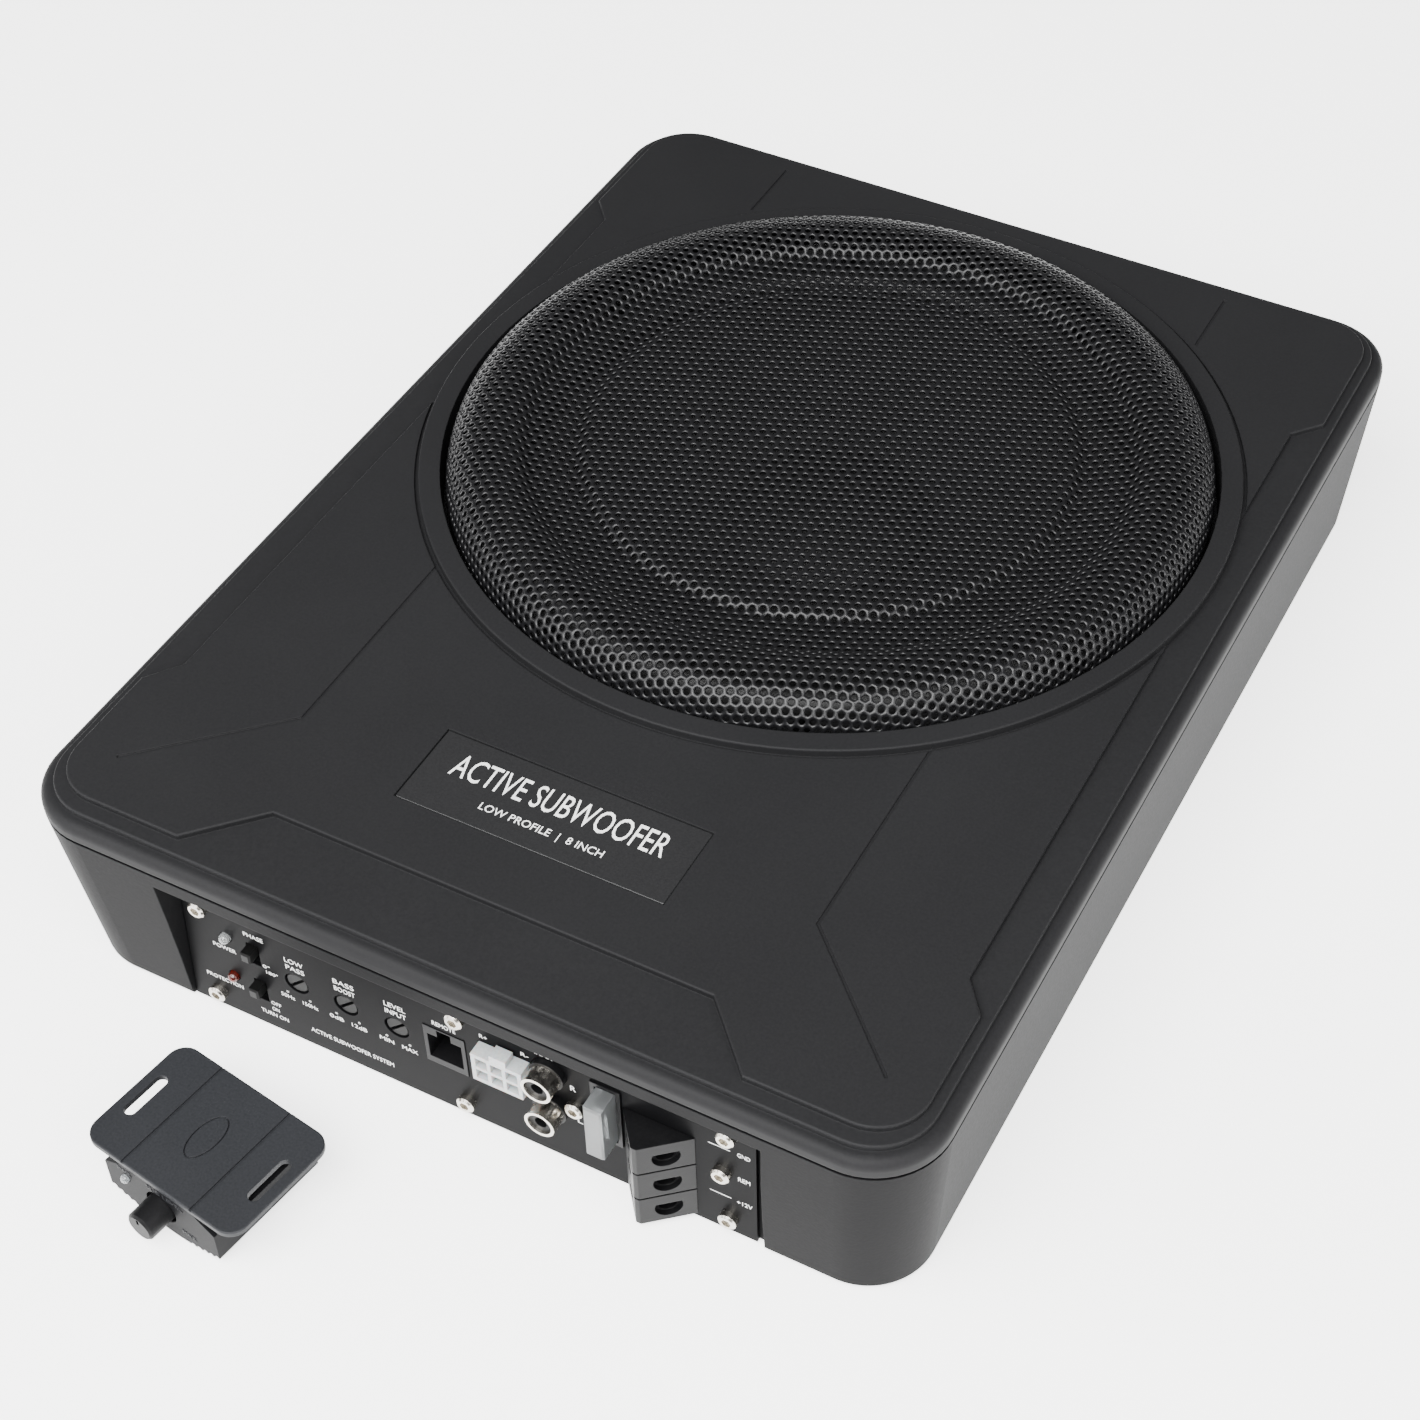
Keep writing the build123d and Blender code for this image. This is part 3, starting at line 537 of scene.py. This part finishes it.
def on_panel(x, z):
    """Stands a flat drawing on the panel's front, reading from -Y."""
    return Matrix.Translation((x, PANEL_FACE_Y, z)) @ UPRIGHT


# ---------------------------------------------------------------- case
class SUBWOOFER_OT_case(bpy.types.Operator):
    """Dress the moulded cover, the cast shell, the pads and the badge"""
    bl_idname = "subwoofer.case"
    bl_label = "Case"

    def execute(self, context):
        colours = context.scene.subwoofer_colours
        dress("top_cover", spark_textured_abs(colours.cover))
        dress("lower_shell", powder_coated_casting(colours.shell))
        dress("rubber_feet", moulded_nitrile_rubber())
        dress("cover_screws", black_zinc_plate())
        dress("badge_plate", satin_badge_film())
        self.badge_lettering(colours)
        return {"FINISHED"}

    def badge_lettering(self, colours):
        """Lays two lines of plain words on the badge. Each has its width, height and place from the badge's
        middle, as shares of the badge."""
        low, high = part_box("badge_plate")
        width = high.x - low.x
        depth = high.y - low.y
        mid_x = (low.x + high.x) / 2
        lift = 0.02 * MM
        thickness = 0.05 * MM
        lines = [("ACTIVE SUBWOOFER", 0.8, 0.3, 0.14), ("LOW PROFILE  |  8 INCH", 0.46, 0.12, -0.24)]
        pieces = []
        for text, across, tall, up in lines:
            place = Matrix.Translation((mid_x, (low.y + high.y) / 2 + up * depth, high.z + lift))
            pieces.append((legend(text, across * width, tall * depth, thickness), place))
        mesh = joined("badge_lettering", pieces)
        link_piece("badge_lettering", mesh, "enclosure", printed_ink(colours.print))


# ---------------------------------------------------------------- grille
SHEET_CLEARANCE = 0.02 * MM
PROFILE_STEPS = 700
SMOOTHING = 9
HOLE_SIDES = 12
RIM_HEIGHT_MM = 3.4
RIM_WIDTH_MM = 0.9
RIM_ROUND_MM = 0.4


def distance_along(r, z):
    """Distance from the first point to each point of a profile."""
    return np.concatenate([[0], np.cumsum(np.hypot(np.diff(r), np.diff(z)))])


def sheet_profile():
    """Radius and height along the sheet's outer face, from the middle to the rim: a flat disc, a sunk ring
    between two small steps, a crest, and a roll down inside the bezel. Neighbouring points are averaged,
    as a pressing's corners are rounded."""
    top = GRILLE_HIGH.z / MM
    rim = GRILLE_HIGH.x / MM
    points = [(0, top - 4.5), (68, top - 4.5), (71, top - 6.2), (84, top - 3.9), (86.8, top - 1.7),
              (90, top - 0.6), (93, top), (96.5, top - 0.2), (100, top - 0.9), (103.5, top - 2.6),
              (106, top - 5.5), (rim - 0.2, top - 9.5), (rim, top - 14.5), (rim, top - 17.5)]
    r, z = np.array(points).T * MM
    run = distance_along(r, z)
    even = np.linspace(0, run[-1], PROFILE_STEPS)
    window = np.ones(SMOOTHING) / SMOOTHING
    smooth = []
    for line in (r, z):
        padded = np.pad(np.interp(even, run, line), SMOOTHING // 2, mode="edge")
        smooth.append(np.convolve(padded, window, mode="valid"))
    return smooth[0] - SHEET_CLEARANCE, smooth[1] - SHEET_CLEARANCE


def hole_centres(pitch, reach):
    """Centres of the staggered holes on a flat sheet, out to a radius of reach."""
    step_x = pitch * math.cos(math.radians(30))
    columns = int(reach / step_x) + 1
    rows = int(reach / pitch) + 3
    centres = []
    for i in range(-columns, columns + 1):
        for k in range(-rows, rows + 1):
            centre = (i * step_x, (k + 0.5 * (i % 2)) * pitch)
            if math.hypot(*centre) < reach:
                centres.append(centre)
    return centres


def pressed(plan, r, z, lay):
    """Lays flat points on the domed profile at the same distance along it, with the rows turned by lay."""
    run = distance_along(r, z)
    flat_r = np.hypot(plan[:, 0], plan[:, 1])
    clipped = np.minimum(flat_r, run[-1])
    way = np.where(flat_r > 1e-9, flat_r, 1)
    radius = np.interp(clipped, run, r)
    height = np.interp(clipped, run, z)
    across = plan[:, 0] / way * radius
    along = plan[:, 1] / way * radius
    x = across * math.cos(lay) - along * math.sin(lay)
    y = across * math.sin(lay) + along * math.cos(lay) + DRIVER_CENTRE.y
    return np.stack([x, y, height], 1)


def perforated_sheet(pitch, hole, lay):
    """Hexagonal cells, each with a round hole, laid out flat and then pressed onto the domed profile. The
    cells next to the rim have no hole."""
    r, z = sheet_profile()
    reach = distance_along(r, z)[-1]
    angle = np.radians(np.arange(HOLE_SIDES) * (360 / HOLE_SIDES))
    outer_r = np.where(np.arange(HOLE_SIDES) % 2 == 0, pitch / math.sqrt(3), pitch / 2)
    outer = np.stack([outer_r * np.cos(angle), outer_r * np.sin(angle)], 1)
    inner = np.stack([hole / 2 * np.cos(angle), hole / 2 * np.sin(angle)], 1)
    blank_edge = pitch * 0.8
    plan = []
    faces = []
    known = {}

    def corner(point):
        """The number of a cell corner, shared with the neighbouring cells that meet there."""
        key = (round(point[0] / pitch * 1000), round(point[1] / pitch * 1000))
        if key not in known:
            known[key] = len(plan)
            plan.append(point)
        return known[key]

    for cx, cy in hole_centres(pitch, reach):
        rim = [corner((cx + dx, cy + dy)) for dx, dy in outer]
        if math.hypot(cx, cy) > reach - blank_edge:
            faces.append(rim)
            continue
        first = len(plan)
        plan.extend((cx + dx, cy + dy) for dx, dy in inner)
        for k in range(HOLE_SIDES):
            n = (k + 1) % HOLE_SIDES
            faces.append((rim[k], rim[n], first + n, first + k))
    mesh = bpy.data.meshes.new("grille_sheet")
    mesh.from_pydata(pressed(np.array(plan), r, z, lay).tolist(), [], faces)
    mesh.update()
    mesh.shade_smooth()
    return mesh


def turned_ring(name, outline, centre, steps=144):
    """A closed ring turned from (radius, height) points."""
    shape = bmesh.new()
    loops = []
    for k in range(steps):
        a = 2 * math.pi * k / steps
        loop = []
        for r, z in outline:
            loop.append(shape.verts.new((centre.x + r * math.cos(a), centre.y + r * math.sin(a), z)))
        loops.append(loop)
    n = len(outline)
    for k in range(steps):
        here, there = loops[k], loops[(k + 1) % steps]
        for i in range(n):
            shape.faces.new((here[i], there[i], there[(i + 1) % n], here[(i + 1) % n]))
    bmesh.ops.recalc_face_normals(shape, faces=shape.faces)
    mesh = bpy.data.meshes.new(name)
    shape.to_mesh(mesh)
    shape.free()
    mesh.shade_smooth()
    return mesh


class SUBWOOFER_OT_grille(bpy.types.Operator):
    """Punch and press the domed grille sheet, and fold its rim"""
    bl_idname = "subwoofer.grille"
    bl_label = "Grille"

    def execute(self, context):
        settings = context.scene.subwoofer_grille
        steel = coated_grille_steel(context.scene.subwoofer_colours.grille)
        sheet = link_piece("grille_sheet", perforated_sheet(settings.pitch, settings.hole, settings.lay),
                           "enclosure", steel)
        wall = sheet.modifiers.new("sheet_thickness", "SOLIDIFY")
        wall.thickness = settings.thickness
        wall.offset = -1
        rim_r = GRILLE_HIGH.x - SHEET_CLEARANCE
        inside = rim_r - RIM_WIDTH_MM * MM
        low = GRILLE_LOW.z
        high = low + RIM_HEIGHT_MM * MM
        fold = (rim_r - RIM_ROUND_MM * MM, low + (RIM_HEIGHT_MM + RIM_ROUND_MM) * MM)
        ring = turned_ring("grille_rim", [(rim_r, low), (rim_r, high), fold, (inside, high), (inside, low)],
                           DRIVER_CENTRE)
        rim = link_piece("grille_rim", ring, "enclosure", steel)
        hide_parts("grille")
        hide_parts("grille")
        return {"FINISHED"}


# ---------------------------------------------------------------- driver
class SUBWOOFER_OT_driver(bpy.types.Operator):
    """Dress the driver behind the grille"""
    bl_idname = "subwoofer.driver"
    bl_label = "Driver"

    def execute(self, context):
        zinc = zinc_plate()
        finishes = {
            "driver_basket": black_electrocoat(), "driver_gasket": closed_cell_foam(),
            "driver_screws": black_zinc_plate(), "surround": butyl_rubber(), "cone": pressed_fibre(),
            "dust_cap": coated_fibre_cap(), "voice_coil": wound_copper(), "spider": woven_cotton(),
            "magnet": sintered_ferrite(), "driver_terminals": fibre_terminal_board(),
        }
        for node, material in finishes.items():
            dress(node, material)
        for node in ("top_plate", "back_plate"):
            dress(node, zinc)
        return {"FINISHED"}


# ---------------------------------------------------------------- connector panel
class SUBWOOFER_OT_connector_panel(bpy.types.Operator):
    """Dress the panel and its screws, and print its legends"""
    bl_idname = "subwoofer.connector_panel"
    bl_label = "Connector panel"

    def execute(self, context):
        colours = context.scene.subwoofer_colours
        dress("connector_panel", coated_panel_steel(colours.panel))
        dress("panel_screws", nickel_plate())
        line_width = 0.22 * MM
        legends = []
        for node, text, width, across, up, height in self.legends():
            at = middle(node)
            drawing = legend(text, width * MM, height * MM, INK)
            legends.append((drawing, on_panel(at.x + across * MM, at.z + up * MM)))
        for x, z, length in self.leader_lines():
            legends.append((flat_bar(length, line_width, INK), on_panel(x, z)))
        mesh = joined("panel_legends", legends)
        link_piece("panel_legends", mesh, "enclosure", printed_ink(colours.print))
        return {"FINISHED"}

    def legends(self):
        """Node, text, width, place from the node's middle, and height of each legend, in millimetres."""
        rows = [("power_led", "POWER", 7.0, -1.3, -5.0, 1.5),
                ("protection_led", "PROTECTION", 11.4, -3.8, -4.1, 1.5),
                ("phase_switch_body", "PHASE", 5.9, 1.0, 7.4, 1.6),
                ("phase_switch_body", "0°", 2.2, 3.3, -3.1, 1.3),
                ("phase_switch_body", "180°", 3.6, 4.7, -5.2, 1.3),
                ("turn_on_switch_body", "OFF", 3.0, 3.8, -3.7, 1.4),
                ("turn_on_switch_body", "ON", 2.2, 3.3, -6.2, 1.4),
                ("turn_on_switch_body", "TURN ON", 8.4, 2.6, -8.8, 1.5)]
        pots = (("low_pass_shaft", "LOW", "PASS", 5.6, "50Hz", "150Hz"),
                ("bass_boost_shaft", "BASS", "BOOST", 6.2, "0dB", "12dB"),
                ("level_shaft", "LEVEL", "INPUT", 6.2, "MIN", "MAX"))
        for node, first, second, width, least, most in pots:
            rows += [(node, first, width, 0.3, 8.5, 1.8), (node, second, width, 0.3, 5.7, 1.8),
                     (node, least, 4.2, -3.8, -7.2, 1.5), (node, most, 4.6, 3.0, -7.3, 1.5),
                     (node, "o", 0.7, -3.6, -5.3, 0.7), (node, "o", 0.7, 3.2, -5.3, 0.7)]
        rows += [("bass_boost_shaft", "ACTIVE SUBWOOFER SYSTEM", 25.1, -0.6, -17.5, 1.7),
                 ("remote_jack", "REMOTE", 6.7, 0.3, 9.3, 1.6),
                 ("high_level_socket", "HI LEVEL INPUT", 13.0, -2.4, -8.6, 1.8),
                 ("high_level_socket", "R+", 2.2, -5.6, 6.6, 1.4),
                 ("high_level_socket", "R-", 2.2, 6.0, 6.6, 1.4),
                 ("rca_shells", "LOW LEVEL", 9.1, -1.1, 14.2, 1.4),
                 ("rca_shells", "INPUT", 5.2, -1.1, 12.3, 1.2),
                 ("rca_shells", "R", 1.5, 6.3, 3.8, 1.9), ("rca_shells", "L", 1.5, 7.6, -8.6, 1.9)]
        wires = (("terminal_screw_3", "GND", 3.4, 6.2), ("terminal_screw_2", "REM", 3.2, 6.7),
                 ("terminal_screw_1", "+12V", 4.2, 7.2))
        return rows + [(node, text, width, 27.4, up, 1.6) for node, text, width, up in wires]

    def leader_lines(self):
        """Place and length of the fine lines from the top and bottom wire entries to their names."""
        gap_to_block, gap_to_edge = 3.4 * MM, 6.8 * MM
        top_lift, bottom_lift = 6.4 * MM, 7.6 * MM
        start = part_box("terminal_block")[1].x + gap_to_block
        end = PANEL_HIGH.x - gap_to_edge
        levels = (middle("terminal_screw_3").z + top_lift, middle("terminal_screw_1").z + bottom_lift)
        return [((start + end) / 2, z, end - start) for z in levels]


class SUBWOOFER_OT_controls(bpy.types.Operator):
    """Dress the lamps, switches and turning controls"""
    bl_idname = "subwoofer.controls"
    bl_label = "Controls"

    def execute(self, context):
        acetal = moulded_acetal()
        nylon = glass_filled_nylon()
        for name in ("phase_switch", "turn_on_switch"):
            dress(name + "_lever", acetal)
            dress(name + "_body", nylon)
        for name in ("low_pass", "bass_boost", "level"):
            dress(name + "_shaft", acetal)
            dress(name + "_pot", nylon)
        dress("power_led", water_clear_epoxy())
        dress("protection_led", red_tinted_epoxy())
        return {"FINISHED"}


class SUBWOOFER_OT_sockets(bpy.types.Operator):
    """Dress the jacks, the six-way socket, the fuse and the terminal block"""
    bl_idname = "subwoofer.sockets"
    bl_label = "Sockets and terminals"

    def execute(self, context):
        nylon = black_socket_nylon()
        for node in ("remote_jack", "rca_block", "rca_contacts", "fuse_holder", "terminal_block"):
            dress(node, nylon)
        dress("high_level_socket", milky_nylon())
        tin = tin_plated_brass()
        nickel = nickel_plate()
        for node in ("high_level_pins", "fuse_blades"):
            dress(node, tin)
        dress("blade_fuse", clear_polysulfone())
        for node in ["rca_shells", "terminal_clamps"] + ["terminal_screw_%d" % k for k in (1, 2, 3)]:
            dress(node, nickel)
        return {"FINISHED"}


class SUBWOOFER_OT_amplifier(bpy.types.Operator):
    """Dress the amplifier inside the case"""
    bl_idname = "subwoofer.amplifier"
    bl_label = "Amplifier"

    def execute(self, context):
        dress("amplifier_board", solder_masked_laminate())
        dress("board_standoffs", zinc_plate())
        dress("heatsink", extruded_aluminium())
        dress("transformer", polyester_winding_tape())
        dress("capacitors", shrink_sleeve())
        return {"FINISHED"}


# ---------------------------------------------------------------- wired level control
class SUBWOOFER_OT_level_control(bpy.types.Operator):
    """Dress the wired level control and emboss its legends"""
    bl_idname = "subwoofer.level_control"
    bl_label = "Level control"

    def execute(self, context):
        plate_abs = fine_textured_abs()
        dress("remote_bracket", plate_abs)
        # The body's ABS carries painted shade: it is coloured darker than the plate's to offset its brighter
        # upright faces.
        dress("remote_housing", fine_textured_abs_with_painted_shade())
        dress("remote_knob", satin_moulded_knob())
        dress("remote_led", control_lamp_epoxy())
        dress("remote_screws", zinc_plate())
        nylon = control_socket_nylon()
        for node in ("remote_pot", "remote_socket"):
            dress(node, nylon)
        mesh = joined("control_legends", self.embossed_words())
        link_piece("control_legends", mesh, "remote_unit", plate_abs)
        return {"FINISHED"}

    def embossed_words(self):
        """The raised words on the control's front: text, width, place across from the middle, and height
        above the floor, in millimetres."""
        turn = Matrix.Rotation(CONTROL_TURN, 4, "Z")
        face = self.face_point()
        letter_height, raised = 1.5 * MM, 0.12 * MM
        words = []
        for text, width, across, up in (("PWR", 4.6, -11.4, 14.4), ("SUB LEVEL", 12.0, 2.4, 15.0),
                                        ("MAX", 4.6, 8.6, 4.6)):
            place = face + turn @ Vector((across * MM, 0, 0))
            spot = Matrix.Translation((place.x, place.y, up * MM)) @ turn @ UPRIGHT
            words.append((legend(text, width * MM, letter_height, raised), spot))
        return words

    def face_point(self):
        """The middle of the control's front face, at floor height."""
        plate_half_depth = 17.3 * MM
        mid = Vector((CONTROL_MIDDLE.x, CONTROL_MIDDLE.y, 0))
        return mid + Matrix.Rotation(CONTROL_TURN, 4, "Z") @ Vector((0, -plate_half_depth, 0))


# ---------------------------------------------------------------- stage
FLOOR_HALF_SIDE = 6.0
FLOOR_GAP = 0.1 * MM
LIGHT_TARGET = Vector((0, 0, 0.03))
WALL_LIGHT = 0.22
SENSOR_WIDTH = 36
CAMERA_SHIFT = (-0.0394, -0.0052)
CAMERA_ROLL = math.radians(-0.5)


class SUBWOOFER_OT_stage(bpy.types.Operator):
    """Lay the floor, hang the lights and set the camera"""
    bl_idname = "subwoofer.stage"
    bl_label = "Stage"

    def execute(self, context):
        self.floor()
        self.lights(context.scene.subwoofer_stage.light)
        self.camera(context.scene.subwoofer_stage)
        return {"FINISHED"}

    def floor(self):
        """A broad floor just under the pads."""
        shape = bmesh.new()
        bmesh.ops.create_grid(shape, x_segments=4, y_segments=4, size=FLOOR_HALF_SIDE)
        mesh = bpy.data.meshes.new("floor")
        shape.to_mesh(mesh)
        shape.free()
        mesh.materials.append(pale_floor())
        floor = bpy.data.objects.new("floor", mesh)
        floor.location.z = CAD_LOW.z - FLOOR_GAP
        COLLECTION.objects.link(floor)
        floor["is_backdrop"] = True

    def lights(self, share):
        """Three softboxes, each with its place, size and power, and evenly lit studio walls."""
        softboxes = (("overhead_softbox", (0.1, -1.1, 1.5), 1.6, 130.0),
                     ("side_softbox", (1.5, -0.4, 0.9), 1.2, 30.0),
                     ("fill_softbox", (-1.3, -1.1, 1.0), 1.4, 30.0))
        for name, place, size, power in softboxes:
            light = bpy.data.lights.new(name, "AREA")
            light.size = size
            light.energy = power * share
            lamp = bpy.data.objects.new(name, light)
            lamp.location = place
            lamp.rotation_euler = (LIGHT_TARGET - Vector(place)).to_track_quat("-Z", "Y").to_euler()
            COLLECTION.objects.link(lamp)
        world = bpy.data.worlds.new("studio")
        bpy.context.scene.world = world
        world.use_nodes = True
        sky = world.node_tree.nodes["Background"]
        sky.inputs["Color"].default_value = srgb("#ffffff")
        sky.inputs["Strength"].default_value = WALL_LIGHT * share

    def camera(self, settings):
        """Stands the camera on its orbit round the aim point, rolled and shifted a little."""
        camera = bpy.data.cameras.new("camera")
        camera.lens = settings.lens
        camera.sensor_width = SENSOR_WIDTH
        camera.shift_x, camera.shift_y = CAMERA_SHIFT
        eye = bpy.data.objects.new("camera", camera)
        az, el, roll = settings.azimuth, settings.elevation, CAMERA_ROLL
        back = Vector((math.sin(az) * math.cos(el), -math.cos(az) * math.cos(el), math.sin(el)))
        right = (-back).cross(Vector((0, 0, 1))).normalized()
        up = right.cross(-back)
        turned_right = math.cos(roll) * right + math.sin(roll) * up
        turned_up = -math.sin(roll) * right + math.cos(roll) * up
        turn = Matrix((turned_right, turned_up, back)).transposed()
        place = back * settings.distance + Vector((0, 0, settings.aim))
        eye.matrix_world = Matrix.Translation(place) @ turn.to_4x4()
        COLLECTION.objects.link(eye)
        bpy.context.scene.camera = eye


# ---------------------------------------------------------------- panel and registration
OPERATORS = (
    SUBWOOFER_OT_case, SUBWOOFER_OT_grille, SUBWOOFER_OT_driver, SUBWOOFER_OT_connector_panel,
    SUBWOOFER_OT_controls, SUBWOOFER_OT_sockets, SUBWOOFER_OT_amplifier, SUBWOOFER_OT_level_control,
    SUBWOOFER_OT_stage,
)
SETTINGS = {
    "subwoofer_grille": SubwooferGrilleSettings,
    "subwoofer_colours": SubwooferColourSettings,
    "subwoofer_stage": SubwooferStageSettings,
}


class SUBWOOFER_PT_pieces(bpy.types.Panel):
    """Lists the pieces of the subwoofer and their settings"""
    bl_idname = "SUBWOOFER_PT_pieces"
    bl_label = "Powered Car Subwoofer"
    bl_space_type = "VIEW_3D"
    bl_region_type = "UI"
    bl_category = "Subwoofer"

    def draw(self, context):
        for name, group in SETTINGS.items():
            for field in group.__annotations__:
                self.layout.prop(getattr(context.scene, name), field)
        for operator in OPERATORS:
            self.layout.operator(operator.bl_idname)


def register():
    """Makes the settings, operators and panel known to Blender."""
    for cls in tuple(SETTINGS.values()) + OPERATORS + (SUBWOOFER_PT_pieces,):
        bpy.utils.register_class(cls)
    for name, group in SETTINGS.items():
        setattr(bpy.types.Scene, name, bpy.props.PointerProperty(type=group))


def unregister():
    """Takes them away again, in the opposite order."""
    for name in SETTINGS:
        delattr(bpy.types.Scene, name)
    for cls in (SUBWOOFER_PT_pieces,) + tuple(reversed(OPERATORS)) + tuple(SETTINGS.values()):
        bpy.utils.unregister_class(cls)


def main():
    """Builds every piece in order."""
    register()
    bpy.ops.subwoofer.case()
    bpy.ops.subwoofer.grille()
    bpy.ops.subwoofer.driver()
    bpy.ops.subwoofer.connector_panel()
    bpy.ops.subwoofer.controls()
    bpy.ops.subwoofer.sockets()
    bpy.ops.subwoofer.amplifier()
    bpy.ops.subwoofer.level_control()
    bpy.ops.subwoofer.stage()


if __name__ == "__main__":
    main()
